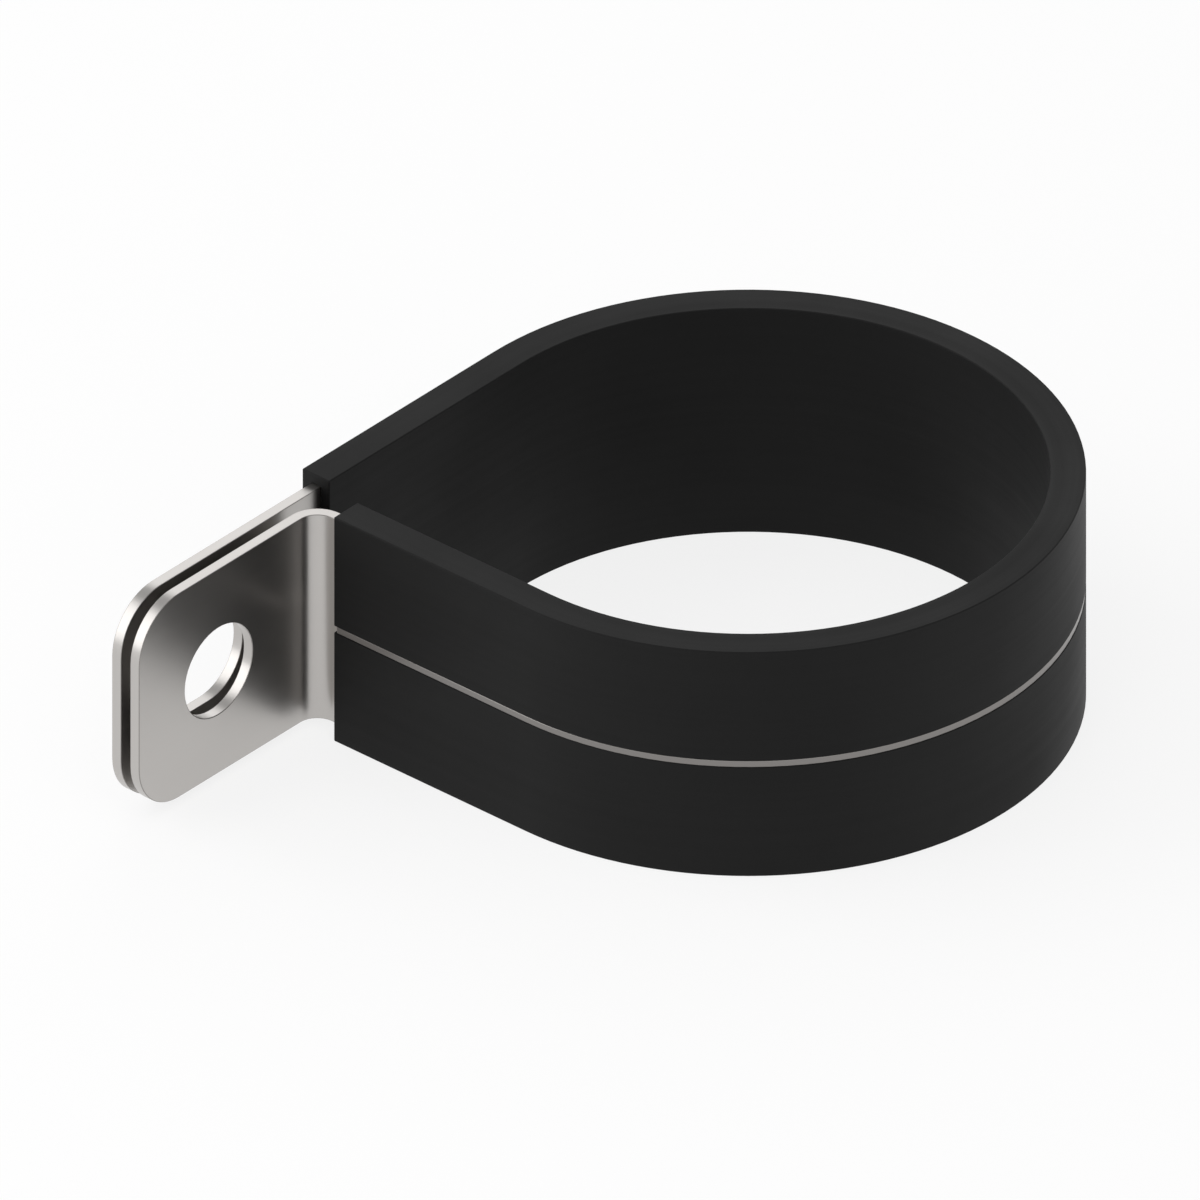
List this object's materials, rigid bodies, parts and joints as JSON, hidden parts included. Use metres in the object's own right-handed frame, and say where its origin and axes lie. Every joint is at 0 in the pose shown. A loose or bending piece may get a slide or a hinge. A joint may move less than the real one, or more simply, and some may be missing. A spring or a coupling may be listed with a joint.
{
  "type": "lined p clip",
  "caption": "P-shaped clip: a flat metal band folded round a rubber-lined bore, ending in flat tabs that lie face to face and are pierced for a screw, one by a round hole and one by a slot.",
  "frame": {"origin": "on the axis of the pipe bore, at the liner's lower edge", "axes": "+Z along the bore, -X towards the ends of the tabs, +Y towards the leg that runs straight on into its tab"},
  "size_m": [0.0771, 0.056, 0.022],
  "materials": {
    "stainless_steel": "cold-rolled strip, smooth and bright",
    "epdm_rubber": "extruded, matt with a faint sheen"
  },
  "bodies": {
    "root": {"steel_band": "stainless_steel", "rubber_liner": "epdm_rubber"}
  },
  "joints": []
}
